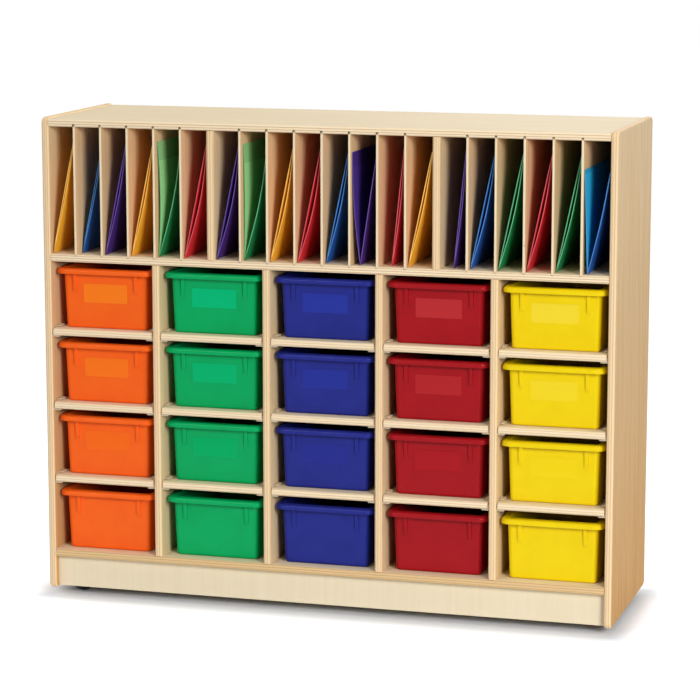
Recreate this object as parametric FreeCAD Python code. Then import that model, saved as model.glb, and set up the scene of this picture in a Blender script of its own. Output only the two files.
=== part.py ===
"""Cubby storage unit: a plywood case on casters, with portfolio slots over pull-out trays.

Millimetres. +X is right, +Y is back and +Z is up. The origin is on the floor, under the
middle of the case. The tray is the standard piece, and the case is sized around it.
"""

import math
import os

from FreeCAD import Vector
import Part

# Trays: one colour for each column, from left to right
TRAY_COLOURS = ("orange", "green", "blue", "red", "yellow")
ROWS = 4
TRAY_W = 216.0
TRAY_L = 343.0
TRAY_H = 127.0
TRAY_WALL = 2.4
TRAY_DRAFT = 4.0
TRAY_CORNER_R = 10.0
TRAY_FOOT_R = 5.0
RIM_OVERHANG = 13.5
RIM_H = 11.0
RIM_CORNER_R = 23.0
RIM_ROLL_R = 6.0
RIB_W = 9.0
RIB_L = 42.0
RIB_OUT = 4.5
RIB_FOOT_OUT = 3.0
RIB_FOOT_SLOPE = 9.0
RIB_INSET = 22.0
RIB_EDGE_R = 2.0

# Room around a tray
TRAY_SIDE_PLAY = 4.32
TRAY_HEADROOM = 15.67
LOW_ROW_EXTRA = 3.83
TRAY_SET_BACK = 10.0
TRAY_BACK_GAP = 22.0
SEAT_GAP = 0.3

# Case panels
PANEL_T = 16.0
SHELF_T = 15.0
BACK_T = 6.0
BACK_LAP = 8.0
BACK_PLAY = 0.3
TOP_DROP = 3.5
SIDE_CORNER_R = 12.0
SIDE_EDGE_R = 5.0
PANEL_EDGE_R = 4.0
SHELF_EDGE_R = 6.0
EDGE_SHARE = 0.45
SHELF_SET_BACK = 1.0
SHELF_BACK_GAP = 4.0
FLOOR_GAP = 15.0
KICK_T = 12.0
KICK_SET_BACK = 16.0
KICK_LIFT = 3.5

# Portfolio slots: how many in each bay, from left to right
BAY_SLOTS = (6, 8, 6)
SLOT_H = 267.0
SLOT_DIVIDER_T = 4.5
SLOT_DIVIDER_SET_BACK = 2.0
SLOT_DIVIDER_CORNER_R = 9.0
SLOT_DIVIDER_FOOT_R = 2.5
GROOVE_DEPTH = 6.0
DECK_GROOVE_DEPTH = 3.5
GROOVE_PLAY = 0.15

# Shelf clips: a moulded C at each corner of a shelf, pegged into the panel beside it
CLIP_L = 40.0
CLIP_SET_BACK = 5.0
CLIP_WEB_T = 2.5
CLIP_LIP_T = 2.5
CLIP_LOWER_LIP = 15.0
CLIP_UPPER_LIP = 11.0
CLIP_UPPER_L = 22.0
CLIP_SLIT = 2.0
CLIP_PLAY = 0.3
PEG_D = 5.0
PEG_L = 7.0
PEG_PLAY = 0.1

# Joinery
DOWEL_D = 8.0
DOWEL_L = 30.0
DOWEL_IN_FACE = 8.0
DOWEL_PLAY = 0.1
DOWEL_END_PLAY = 0.5
DOWEL_INSET = 70.0
BACK_SCREW_D = 4.0
BACK_SCREW_HEAD_D = 8.0
BACK_SCREW_HEAD_H = 2.4
BACK_SCREW_L = 28.0
SCREW_PLAY = 0.1
SCREW_END_PLAY = 0.5
TOP_SCREW_FIRST_SLOT = 2
TOP_SCREW_EVERY = 5

# Casters
WHEEL_D = 50.0
WHEEL_W = 20.0
WHEEL_EDGE_R = 4.0
WHEEL_RECESS = 3.0
TREAD_H = 7.0
HUB_D = 18.0
TRAIL = 20.0
WHEEL_TOP_GAP = 3.5
CROWN_D = 42.0
CROWN_T = 3.0
RACE_D = 38.0
RACE_H = 9.1
RACE_GAP = 0.4
PLATE_SIDE = 60.0
PLATE_T = 3.0
PLATE_CORNER_R = 6.0
KINGPIN_D = 10.0
KINGPIN_HEAD_D = 16.0
KINGPIN_HEAD_H = 2.5
LEG_T = 3.0
LEG_GAP = 1.5
LEG_HEAD = 14.0
LEG_END_R = 9.0
AXLE_D = 8.0
AXLE_HEAD_D = 13.0
AXLE_HEAD_H = 3.5
AXLE_PLAY = 0.2
BLOCK_T = 16.0
SWING_GAP = 3.9
CASTER_SCREW_D = 4.0
CASTER_SCREW_L = 14.0
CASTER_SCREW_HEAD_D = 8.0
CASTER_SCREW_HEAD_H = 2.5
CASTER_SCREW_INSET = 9.0
# Which way each wheel trails at rest, in degrees from +X
CASTER_TURNS = {"front_left": 233.0, "front_right": 68.0, "rear_left": 97.0, "rear_right": 75.0}

TINY = 0.01

# Plan of the case
COLUMNS = len(TRAY_COLOURS)
COLUMN_W = TRAY_W + 2 * TRAY_SIDE_PLAY
CASE_W = COLUMNS * COLUMN_W + (COLUMNS + 1) * PANEL_T
CASE_D = TRAY_SET_BACK + TRAY_L + TRAY_BACK_GAP + BACK_T
LEFT, RIGHT = -CASE_W / 2, CASE_W / 2
FRONT, REAR = -CASE_D / 2, CASE_D / 2
INNER_LEFT, INNER_RIGHT = LEFT + PANEL_T, RIGHT - PANEL_T
BACK_FACE = REAR - BACK_T

# Heights of the case
CASTER_H = WHEEL_D + WHEEL_TOP_GAP + CROWN_T + RACE_GAP + RACE_H + PLATE_T
BASE_H = CASTER_H + BLOCK_T
BOTTOM_TOP = BASE_H + PANEL_T
ROW_H = TRAY_H + TRAY_HEADROOM
LOW_ROW_H = ROW_H + LOW_ROW_EXTRA
SHELF_TOPS = [BOTTOM_TOP + LOW_ROW_H + SHELF_T + i * (ROW_H + SHELF_T) for i in range(ROWS - 1)]
DECK_UNDER = SHELF_TOPS[-1] + ROW_H
DECK_TOP = DECK_UNDER + PANEL_T
TOP_UNDER = DECK_TOP + SLOT_H
TOP_TOP = TOP_UNDER + PANEL_T
SIDE_TOP = TOP_TOP + TOP_DROP

# Slots across the case
THIN_COUNT = sum(BAY_SLOTS) - len(BAY_SLOTS)
THICK_COUNT = len(BAY_SLOTS) - 1
SLOT_ROOM = INNER_RIGHT - INNER_LEFT - THICK_COUNT * PANEL_T - THIN_COUNT * SLOT_DIVIDER_T
SLOT_W = SLOT_ROOM / sum(BAY_SLOTS)

# Places of the casters
WHEEL_R = WHEEL_D / 2
SWING_R = math.hypot(TRAIL + WHEEL_R, WHEEL_W / 2)
CASTER_IN = SWING_R + SWING_GAP
KICK_INNER_FRONT = FRONT + KICK_SET_BACK + KICK_T
KICK_INNER_REAR = BACK_FACE - KICK_T


def block(x_span, y_span, z_span):
    """Box between three pairs of limits."""
    (x0, x1), (y0, y1), (z0, z1) = x_span, y_span, z_span
    return Part.makeBox(x1 - x0, y1 - y0, z1 - z0, Vector(x0, y0, z0))


def drilled(shape, tools):
    """Shape less all the tools, in one cut."""
    return shape.cut(Part.makeCompound(tools))


def eased(radius, thickness):
    """Edge radius, kept under half of a panel's thickness."""
    return min(radius, EDGE_SHARE * thickness)


def round_front(shape, radius, along):
    """Shape with the front edges that run along "x" or "z" rounded."""
    front = shape.BoundBox.YMin

    def wanted(edge):
        box = edge.BoundBox
        length = box.XLength if along == "x" else box.ZLength
        return box.YMax < front + TINY and length > TINY

    return shape.makeFillet(radius, [edge for edge in shape.Edges if wanted(edge)])


def rounded_outline(width, length, radius, z):
    """Closed wire of a rounded rectangle about the Z axis, at one height."""
    half_w, half_l = width / 2, length / 2
    cut = radius * (1 - math.sqrt(0.5))
    arcs = []
    for sx, sy in ((1, 1), (-1, 1), (-1, -1), (1, -1)):
        on_side = Vector(sx * half_w, sy * (half_l - radius), z)
        middle = Vector(sx * (half_w - cut), sy * (half_l - cut), z)
        on_end = Vector(sx * (half_w - radius), sy * half_l, z)
        first, last = (on_side, on_end) if sx == sy else (on_end, on_side)
        arcs.append((first, middle, last))
    edges = []
    for here, after in zip(arcs, arcs[1:] + arcs[:1]):
        edges.append(Part.Arc(*here).toShape())
        edges.append(Part.makeLine(here[2], after[0]))
    return Part.Wire(edges)


def rounded_slab(width, length, radius, z_span):
    """Upright prism on a rounded rectangle."""
    face = Part.Face(rounded_outline(width, length, radius, z_span[0]))
    return face.extrude(Vector(0, 0, z_span[1] - z_span[0]))


def level_edges(shape, z):
    """Edges of a shape that lie at one height."""

    def level(edge):
        box = edge.BoundBox
        return abs(box.ZMin - z) < TINY and abs(box.ZMax - z) < TINY

    return [edge for edge in shape.Edges if level(edge)]


def turned_solid(points):
    """Solid of revolution about Z from (radius, height) points."""
    corners = [Vector(r, 0, z) for r, z in points]
    face = Part.Face(Part.makePolygon(corners + corners[:1]))
    return face.revolve(Vector(0, 0, 0), Vector(0, 0, 1), 360)


def column_left(column):
    """Left limit of a tray column."""
    return INNER_LEFT + column * (COLUMN_W + PANEL_T)


def row_seat(row):
    """Height that the trays of a row stand on, with row 0 at the top."""
    return ([BOTTOM_TOP] + SHELF_TOPS)[ROWS - 1 - row]


def slot_layout():
    """Left limits of the thin dividers and of the thick dividers, and middles of the slots."""
    thin, thick, middles = [], [], []
    x = INNER_LEFT
    for bay, slots in enumerate(BAY_SLOTS):
        for slot in range(slots):
            middles.append(x + SLOT_W / 2)
            x += SLOT_W
            last_slot = slot == slots - 1
            if not last_slot:
                thin.append(x)
                x += SLOT_DIVIDER_T
            elif bay < THICK_COUNT:
                thick.append(x)
                x += PANEL_T
    return thin, thick, middles


THIN_LEFTS, THICK_LEFTS, SLOT_MIDDLES = slot_layout()
DIVIDER_LEFTS = [column_left(i) - PANEL_T for i in range(1, COLUMNS)]
DOWEL_ROWS = (FRONT + DOWEL_INSET, BACK_FACE - DOWEL_INSET)


def dowel_at(place, way, side_play=0.0, end_play=0.0):
    """Dowel, or the hole for it, from its end in a panel's face along its axis."""
    start = place - way * (DOWEL_IN_FACE + end_play)
    return Part.makeCylinder(DOWEL_D / 2 + side_play, DOWEL_L + 2 * end_play, start, way)


def dowel_joints():
    """Face point and direction of every dowel in the case."""
    up, down = Vector(0, 0, 1), Vector(0, 0, -1)
    joints = []
    for y in DOWEL_ROWS:
        for z in (TOP_UNDER, DECK_UNDER, BASE_H):
            middle = z + PANEL_T / 2
            joints.append((Vector(INNER_LEFT, y, middle), Vector(1, 0, 0)))
            joints.append((Vector(INNER_RIGHT, y, middle), Vector(-1, 0, 0)))
        for left in DIVIDER_LEFTS:
            middle = left + PANEL_T / 2
            joints.append((Vector(middle, y, BOTTOM_TOP), up))
            joints.append((Vector(middle, y, DECK_UNDER), down))
        for left in THICK_LEFTS:
            middle = left + PANEL_T / 2
            joints.append((Vector(middle, y, DECK_TOP), up))
            joints.append((Vector(middle, y, TOP_UNDER), down))
    return joints


def dowel_holes():
    """Holes for all the dowels."""
    return [dowel_at(place, way, DOWEL_PLAY, DOWEL_END_PLAY) for place, way in dowel_joints()]


def panel_dowels():
    """Round dowels that join the case panels."""
    return Part.makeCompound([dowel_at(place, way) for place, way in dowel_joints()])


def back_screw_places():
    """Points on the rear face where the back panel is screwed on."""
    side_x = INNER_RIGHT + BACK_LAP / 2
    columns = [column_left(i) + COLUMN_W / 2 for i in range(COLUMNS)]
    over_slots = SLOT_MIDDLES[TOP_SCREW_FIRST_SLOT::TOP_SCREW_EVERY]
    under_grooves = (PANEL_T - GROOVE_DEPTH) / 2
    places = [Vector(x, REAR, BASE_H + PANEL_T / 2) for x in columns]
    places += [Vector(x, REAR, DECK_UNDER + under_grooves) for x in columns]
    places += [Vector(x, REAR, TOP_UNDER + BACK_LAP / 2) for x in over_slots]
    for row in range(ROWS):
        places += [Vector(s * side_x, REAR, row_seat(row) + ROW_H / 2) for s in (-1, 1)]
    return places


def back_screw(place, play=0.0, end_play=0.0):
    """Countersunk screw, or the hole for it, driven forward from the rear face."""
    radius, head = BACK_SCREW_D / 2 + play, BACK_SCREW_HEAD_D / 2 + play
    length = BACK_SCREW_L + end_play
    forward = Vector(0, -1, 0)
    shank = Part.makeCylinder(radius, length, place, forward)
    cone = Part.makeCone(head, radius, BACK_SCREW_HEAD_H, place, forward)
    return shank.fuse(cone)


def back_screw_holes():
    """Holes for all the back panel's screws."""
    return [back_screw(place, SCREW_PLAY, SCREW_END_PLAY) for place in back_screw_places()]


def back_screws():
    """Screws of the back panel, with their heads flush."""
    return Part.makeCompound([back_screw(place) for place in back_screw_places()])


def peg_places():
    """Panel-face point and outward direction of every clip peg, with its shelf's underside."""
    peg_rows = (FRONT + CLIP_SET_BACK + CLIP_L - CLIP_UPPER_L / 2,
                BACK_FACE - SHELF_BACK_GAP - CLIP_L + CLIP_UPPER_L / 2)
    places = []
    for column in range(COLUMNS):
        left = column_left(column)
        for top in SHELF_TOPS:
            for y in peg_rows:
                places.append((Vector(left, y, top - SHELF_T / 2), 1))
                places.append((Vector(left + COLUMN_W, y, top - SHELF_T / 2), -1))
    return places


def peg_holes():
    """Holes for all the clip pegs."""
    radius = PEG_D / 2 + PEG_PLAY
    depth = PEG_L + PEG_PLAY
    return [Part.makeCylinder(radius, depth, place, Vector(-side, 0, 0)) for place, side in peg_places()]


def shelf_clip():
    """Front clip for a shelf's left end: the panel's face is x = 0, the shelf's underside z = 0."""
    upper_under = SHELF_T + CLIP_SLIT
    top = upper_under + CLIP_LIP_T
    upper_start = CLIP_L - CLIP_UPPER_L
    half_way = math.sqrt(0.5)
    bend = Vector(0, upper_start * (1 - half_way), top * half_way)
    sweep = Part.Arc(Vector(0, 0, 0), bend, Vector(0, upper_start, top))
    corners = [Vector(0, upper_start, top), Vector(0, CLIP_L, top), Vector(0, CLIP_L, -CLIP_LIP_T),
               Vector(0, 0, -CLIP_LIP_T), Vector(0, 0, 0)]
    outline = Part.Wire([sweep.toShape()] + Part.makePolygon(corners).Edges)
    web = Part.Face(outline).extrude(Vector(CLIP_WEB_T, 0, 0))
    lower = block((0, CLIP_LOWER_LIP), (0, CLIP_L), (-CLIP_LIP_T, 0))
    upper = block((0, CLIP_UPPER_LIP), (upper_start, CLIP_L), (upper_under, top))
    peg_root = Vector(TINY, CLIP_L - CLIP_UPPER_L / 2, SHELF_T / 2)
    peg = Part.makeCylinder(PEG_D / 2, PEG_L + TINY, peg_root, Vector(-1, 0, 0))
    return web.multiFuse([lower, upper, peg]).removeSplitter()


def shelf_clips():
    """All the clips: two at each end of each shelf."""
    front_left = shelf_clip()
    origin = Vector(0, 0, 0)
    front_right = front_left.mirror(origin, Vector(1, 0, 0))
    rear_left = front_left.mirror(origin, Vector(0, 1, 0))
    rear_right = front_right.mirror(origin, Vector(0, 1, 0))
    front_y, rear_y = FRONT + CLIP_SET_BACK, BACK_FACE - SHELF_BACK_GAP
    clips = []
    for column in range(COLUMNS):
        left = column_left(column)
        right = left + COLUMN_W
        for top in SHELF_TOPS:
            under = top - SHELF_T
            corners = ((front_left, left, front_y), (front_right, right, front_y),
                       (rear_left, left, rear_y), (rear_right, right, rear_y))
            for shape, x, y in corners:
                clips.append(shape.translated(Vector(x, y, under)))
    return Part.makeCompound(clips)


def side_panel(outer, inner):
    """Upright side with rounded corners, eased edges and a rebate for the back."""
    mid_y, mid_z = (FRONT + REAR) / 2, (FLOOR_GAP + SIDE_TOP) / 2
    slab = rounded_slab(SIDE_TOP - FLOOR_GAP, CASE_D, SIDE_CORNER_R, (0, PANEL_T))
    outlines = level_edges(slab, 0) + level_edges(slab, PANEL_T)
    slab = slab.makeFillet(eased(SIDE_EDGE_R, PANEL_T), outlines)
    slab.rotate(Vector(0, 0, 0), Vector(0, 1, 0), 90)
    slab.translate(Vector(min(outer, inner), mid_y, mid_z))
    way = 1 if outer > inner else -1
    lap = sorted((inner, inner + way * (BACK_LAP + BACK_PLAY)))
    rebate_z = (BASE_H - BACK_PLAY, TOP_UNDER + BACK_LAP + BACK_PLAY)
    rebate = block(lap, (BACK_FACE, REAR + TINY), rebate_z)
    return drilled(slab, [rebate] + dowel_holes() + peg_holes() + back_screw_holes())


def level_panel(under, rear):
    """Panel between the two sides, with its front edge rounded."""
    slab = block((INNER_LEFT, INNER_RIGHT), (FRONT, rear), (under, under + PANEL_T))
    return round_front(slab, eased(PANEL_EDGE_R, PANEL_T), "x")


def slot_grooves(bottom, top):
    """Grooves for the thin dividers, open at the front edge."""
    run = (FRONT - TINY, BACK_FACE)
    width = SLOT_DIVIDER_T + GROOVE_PLAY
    return [block((x - GROOVE_PLAY, x + width), run, (bottom, top)) for x in THIN_LEFTS]


def top_panel():
    """Top, grooved below and rebated for the back."""
    slab = level_panel(TOP_UNDER, REAR)
    rebate_z = (TOP_UNDER, TOP_UNDER + BACK_LAP + BACK_PLAY)
    rebate = block((INNER_LEFT, INNER_RIGHT), (BACK_FACE, REAR + TINY), rebate_z)
    grooves = slot_grooves(TOP_UNDER, TOP_UNDER + GROOVE_DEPTH)
    return drilled(slab, [rebate] + grooves + dowel_holes() + back_screw_holes())


def portfolio_deck():
    """Fixed shelf under the portfolio slots, grooved above."""
    grooves = slot_grooves(DECK_TOP - DECK_GROOVE_DEPTH, DECK_TOP)
    return drilled(level_panel(DECK_UNDER, BACK_FACE), grooves + dowel_holes() + back_screw_holes())


def bottom_panel():
    """Floor of the case, over the casters."""
    return drilled(level_panel(BASE_H, BACK_FACE), dowel_holes() + back_screw_holes())


def back_panel():
    """Thin back in the rebates of the sides and the top."""
    edge = INNER_RIGHT + BACK_LAP
    sheet = block((-edge, edge), (BACK_FACE, REAR), (BASE_H, TOP_UNDER + BACK_LAP))
    return drilled(sheet, back_screw_holes())


def kick_board(y0):
    """Recessed board below the bottom panel."""
    return block((INNER_LEFT, INNER_RIGHT), (y0, y0 + KICK_T), (FLOOR_GAP + KICK_LIFT, BASE_H))


def upright(left, z_span):
    """Thick upright divider with its front edges rounded."""
    slab = block((left, left + PANEL_T), (FRONT, BACK_FACE), z_span)
    return round_front(slab, eased(SIDE_EDGE_R, PANEL_T), "z")


def column_divider(left):
    """Upright between two tray columns."""
    return drilled(upright(left, (BOTTOM_TOP, DECK_UNDER)), dowel_holes() + peg_holes())


def bay_divider(left):
    """Thick upright between two bays of slots."""
    return drilled(upright(left, (DECK_TOP, TOP_UNDER)), dowel_holes())


def slot_dividers():
    """Thin sheets that part the slots, seated in the grooves."""
    low = DECK_TOP - DECK_GROOVE_DEPTH + GROOVE_PLAY
    high = TOP_UNDER + GROOVE_DEPTH - GROOVE_PLAY
    front = FRONT + SLOT_DIVIDER_SET_BACK
    sheets = []
    for x in THIN_LEFTS:
        sheet = block((x, x + SLOT_DIVIDER_T), (front, BACK_FACE), (low, high))
        for z, radius in ((low, SLOT_DIVIDER_FOOT_R), (high, SLOT_DIVIDER_CORNER_R)):
            corner = [edge for edge in level_edges(sheet, z) if edge.BoundBox.YMax < front + TINY]
            sheet = sheet.makeFillet(radius, corner)
        sheets.append(sheet)
    return Part.makeCompound(sheets)


def shelves(column):
    """Three shelves of a column, each resting on its clips."""
    end_gap = CLIP_WEB_T + CLIP_PLAY
    left = column_left(column) + end_gap
    right = column_left(column) + COLUMN_W - end_gap
    run = (FRONT + SHELF_SET_BACK, BACK_FACE - SHELF_BACK_GAP)
    boards = []
    for top in SHELF_TOPS:
        board = block((left, right), run, (top - SHELF_T, top))
        boards.append(round_front(board, eased(SHELF_EDGE_R, SHELF_T), "x"))
    return Part.makeCompound(boards)


def tray_loft(inset, z_span):
    """Tapered tray volume, drawn in by an inset, between two heights."""
    wires = []
    for z in z_span:
        draw = 2 * (RIM_OVERHANG + inset + TRAY_DRAFT * (1 - z / TRAY_H))
        wires.append(rounded_outline(TRAY_W - draw, TRAY_L - draw, TRAY_CORNER_R - inset, z))
    return Part.makeLoft(wires, True, True)


def tray_rib(side):
    """Rib under the rim on the tray's front, with a sloped foot."""
    centre = side * (TRAY_W / 2 - RIM_OVERHANG - RIB_INSET - RIB_W / 2)
    high, low = TRAY_H - TRAY_WALL / 2, TRAY_H - RIM_H - RIB_L
    foot = low + RIB_FOOT_SLOPE

    def wall_y(z):
        return -TRAY_L / 2 + RIM_OVERHANG + TRAY_DRAFT * (1 - z / TRAY_H)

    root = TRAY_WALL / 2
    corners = [(wall_y(high) + root, high), (wall_y(high) - RIB_OUT, high), (wall_y(foot) - RIB_FOOT_OUT, foot),
               (wall_y(low) - TINY, low), (wall_y(low) + root, low)]
    points = [Vector(centre - RIB_W / 2, y, z) for y, z in corners]
    rib = Part.Face(Part.makePolygon(points + points[:1])).extrude(Vector(RIB_W, 0, 0))
    crest = wall_y(high) - RIB_OUT + TINY
    slope = [e for e in rib.Edges if e.BoundBox.ZLength > RIB_L / 2 and e.BoundBox.YMin < crest]
    return rib.makeFillet(RIB_EDGE_R, slope)


def tray():
    """Moulded tray about the Z axis, standing at z = 0, with its front towards -Y."""
    outside = tray_loft(0.0, (0.0, TRAY_H - TRAY_WALL / 2))
    outside = outside.makeFillet(TRAY_FOOT_R, level_edges(outside, 0.0))
    inside = tray_loft(TRAY_WALL, (TRAY_WALL, TRAY_H + TRAY_WALL))
    inside = inside.makeFillet(TRAY_FOOT_R - TRAY_WALL, level_edges(inside, TRAY_WALL))
    rim = rounded_slab(TRAY_W, TRAY_L, RIM_CORNER_R, (TRAY_H - RIM_H, TRAY_H))
    rim = rim.makeFillet(RIM_ROLL_R, level_edges(rim, TRAY_H))
    inner_roll = RIM_ROLL_R - TRAY_WALL
    hollow = rounded_slab(TRAY_W - 2 * TRAY_WALL, TRAY_L - 2 * TRAY_WALL, RIM_CORNER_R - TRAY_WALL,
                          (TRAY_H - RIM_H - TINY, TRAY_H - TRAY_WALL))
    hollow = hollow.makeFillet(inner_roll, level_edges(hollow, TRAY_H - TRAY_WALL))
    front_ribs = [tray_rib(side) for side in (-1, 1)]
    back_ribs = [rib.mirror(Vector(0, 0, 0), Vector(0, 1, 0)) for rib in front_ribs]
    body = outside.multiFuse([rim.cut(hollow)] + front_ribs + back_ribs)
    return body.cut(inside).removeSplitter()


def tray_place(row, column):
    """Point under the middle of a tray at rest."""
    x = column_left(column) + COLUMN_W / 2
    return Vector(x, FRONT + TRAY_SET_BACK + TRAY_L / 2, row_seat(row) + SEAT_GAP)


def caster_place(corner):
    """Floor point under a caster's swivel axis."""
    end, hand = corner.split("_")
    x = INNER_LEFT + CASTER_IN if hand == "left" else INNER_RIGHT - CASTER_IN
    y = KICK_INNER_FRONT + CASTER_IN if end == "front" else KICK_INNER_REAR - CASTER_IN
    return Vector(x, y, 0)


def set_caster(shape, corner):
    """Caster piece turned to its rest direction and moved to its corner."""
    placed = shape.copy()
    placed.rotate(Vector(0, 0, 0), Vector(0, 0, 1), CASTER_TURNS[corner])
    placed.translate(caster_place(corner))
    return placed


def at_corners(shape):
    """Unturned copies of a piece at the four corners."""
    return [shape.translated(caster_place(corner)) for corner in CASTER_TURNS]


def axle_cylinder(diameter, length):
    """Round bar along the axle, centred on the wheel."""
    return Part.makeCylinder(diameter / 2, length, Vector(TRAIL, -length / 2, WHEEL_R), Vector(0, 1, 0))


def caster_wheel():
    """Wheel with a rounded tread, recessed sides and a hub, trailing along +X."""
    half, tread_r, hub_r = WHEEL_W / 2, WHEEL_R - TREAD_H, HUB_D / 2
    bore, edge = AXLE_D / 2 + AXLE_PLAY, WHEEL_EDGE_R
    web = half - WHEEL_RECESS
    side = [(bore, half), (hub_r, half), (hub_r, web), (tread_r, web), (tread_r, half), (WHEEL_R, half)]
    wheel = turned_solid(side + [(r, -z) for r, z in reversed(side)])
    rims = level_edges(wheel, half) + level_edges(wheel, -half)
    wheel = wheel.makeFillet(edge, [e for e in rims if e.BoundBox.XLength > WHEEL_D - TINY])
    wheel.rotate(Vector(0, 0, 0), Vector(1, 0, 0), 90)
    wheel.translate(Vector(TRAIL, 0, WHEEL_R))
    return wheel


def caster_fork():
    """Swivel fork: a round crown and two legs down to the axle."""
    crown_z = WHEEL_D + WHEEL_TOP_GAP
    crown = Part.makeCylinder(CROWN_D / 2, CROWN_T, Vector(0, 0, crown_z))
    reach = WHEEL_W / 2 + LEG_GAP
    head, tail = -LEG_HEAD, LEG_HEAD + TRAIL / 2
    outline = [(head, crown_z + CROWN_T / 2), (tail, crown_z + CROWN_T / 2),
               (TRAIL + LEG_END_R, WHEEL_R), (TRAIL - LEG_END_R, WHEEL_R)]
    pieces = [block((head, tail), (-reach - LEG_T, reach + LEG_T), (crown_z, crown_z + CROWN_T))]
    for y in (reach, -reach - LEG_T):
        points = [Vector(x, y, z) for x, z in outline]
        leg = Part.Face(Part.makePolygon(points + points[:1])).extrude(Vector(0, LEG_T, 0))
        end = Part.makeCylinder(LEG_END_R, LEG_T, Vector(TRAIL, y, WHEEL_R), Vector(0, 1, 0))
        pieces += [leg, end]
    fork = crown.multiFuse(pieces)
    pin_hole = Part.makeCylinder(KINGPIN_D / 2 + AXLE_PLAY, WHEEL_D, Vector(0, 0, crown_z - TINY))
    axle_hole = axle_cylinder(AXLE_D + 2 * SCREW_PLAY, 2 * (reach + 2 * LEG_T))
    return fork.cut(Part.makeCompound([pin_hole, axle_hole])).removeSplitter()


def caster_axle():
    """Axle bolt with a round head at each end."""
    outer = 2 * (WHEEL_W / 2 + LEG_GAP + LEG_T)
    bar = axle_cylinder(AXLE_D, outer + 2 * AXLE_HEAD_H)
    heads = axle_cylinder(AXLE_HEAD_D, outer + 2 * AXLE_HEAD_H).cut(axle_cylinder(2 * AXLE_HEAD_D, outer))
    return bar.fuse(heads).removeSplitter()


def plate_screw_offsets():
    """Screw points of a caster plate, about its middle."""
    reach = PLATE_SIDE / 2 - CASTER_SCREW_INSET
    return [Vector(sx * reach, sy * reach, 0) for sx in (-1, 1) for sy in (-1, 1)]


def caster_plate():
    """Fixed top plate with its ball race and kingpin."""
    crown_top = WHEEL_D + WHEEL_TOP_GAP + CROWN_T
    race_z = crown_top + RACE_GAP
    plate = rounded_slab(PLATE_SIDE, PLATE_SIDE, PLATE_CORNER_R, (CASTER_H - PLATE_T, CASTER_H))
    race = Part.makeCylinder(RACE_D / 2, RACE_H, Vector(0, 0, race_z))
    pin_low = crown_top - CROWN_T - AXLE_PLAY - KINGPIN_HEAD_H
    pin = Part.makeCylinder(KINGPIN_D / 2, race_z - pin_low, Vector(0, 0, pin_low))
    head = Part.makeCylinder(KINGPIN_HEAD_D / 2, KINGPIN_HEAD_H, Vector(0, 0, pin_low))
    hole_r = CASTER_SCREW_D / 2 + SCREW_PLAY
    holes = [Part.makeCylinder(hole_r, CASTER_H, offset) for offset in plate_screw_offsets()]
    return drilled(plate.multiFuse([race, pin, head]).removeSplitter(), holes)


def caster_screws():
    """Pan-head screws that hold the plates to their blocks."""
    head_z = CASTER_H - PLATE_T - CASTER_SCREW_HEAD_H
    screws = []
    for offset in plate_screw_offsets():
        foot = offset + Vector(0, 0, head_z)
        head = Part.makeCylinder(CASTER_SCREW_HEAD_D / 2, CASTER_SCREW_HEAD_H, foot)
        head = head.makeFillet(CASTER_SCREW_HEAD_H / 2, level_edges(head, head_z))
        shank = Part.makeCylinder(CASTER_SCREW_D / 2, CASTER_SCREW_HEAD_H + PLATE_T + CASTER_SCREW_L, foot)
        screws += at_corners(head.fuse(shank).removeSplitter())
    return Part.makeCompound(screws)


def caster_blocks():
    """Plywood blocks that carry the casters, tight in the corners of the base."""
    pad = block((-CASTER_IN, CASTER_IN), (-CASTER_IN, CASTER_IN), (CASTER_H, BASE_H))
    radius = CASTER_SCREW_D / 2 + SCREW_PLAY
    holes = [Part.makeCylinder(radius, CASTER_SCREW_L + SCREW_PLAY, offset + Vector(0, 0, CASTER_H))
             for offset in plate_screw_offsets()]
    return Part.makeCompound(at_corners(drilled(pad, holes)))


def case_nodes():
    """Every fixed piece of the case, by node name."""
    nodes = {
        "side_panel_left": side_panel(LEFT, INNER_LEFT),
        "side_panel_right": side_panel(RIGHT, INNER_RIGHT),
        "top_panel": top_panel(),
        "portfolio_deck": portfolio_deck(),
        "bottom_panel": bottom_panel(),
        "back_panel": back_panel(),
        "kick_board_front": kick_board(FRONT + KICK_SET_BACK),
        "kick_board_rear": kick_board(KICK_INNER_REAR),
        "slot_dividers": slot_dividers(),
        "shelf_clips": shelf_clips(),
        "panel_dowels": panel_dowels(),
        "back_screws": back_screws(),
        "caster_blocks": caster_blocks(),
        "caster_plates": Part.makeCompound(at_corners(caster_plate())),
        "caster_screws": caster_screws(),
    }
    for i, left in enumerate(DIVIDER_LEFTS, start=1):
        nodes[f"column_divider_{i}"] = column_divider(left)
    for hand, left in zip(("left", "right"), THICK_LEFTS):
        nodes[f"bay_divider_{hand}"] = bay_divider(left)
    for column in range(COLUMNS):
        nodes[f"shelves_column_{column + 1}"] = shelves(column)
    return nodes


def tray_nodes():
    """Every tray, by colour and row."""
    shape = tray()
    return {f"tray_{colour}_{row + 1}": shape.translated(tray_place(row, column))
            for column, colour in enumerate(TRAY_COLOURS) for row in range(ROWS)}


def caster_nodes():
    """The turning pieces of the four casters."""
    pieces = {"caster_fork": caster_fork(), "caster_axle": caster_axle(), "caster_wheel": caster_wheel()}
    return {f"{name}_{corner}": set_caster(shape, corner)
            for name, shape in pieces.items() for corner in CASTER_TURNS}


def main():
    """Builds every node and writes one STEP file for each."""
    os.makedirs("parts", exist_ok=True)
    for name, shape in {**case_nodes(), **tray_nodes(), **caster_nodes()}.items():
        shape.exportStep(f"parts/{name}.step")
        print(f"{name}: {len(shape.Solids)} solids, {shape.Volume / 1000:.1f} cm3, valid {shape.isValid()}")


if __name__ == "__main__":
    main()
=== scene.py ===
"""Looks of the cubby storage unit: plywood case, moulded trays, card folders and casters."""

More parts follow.
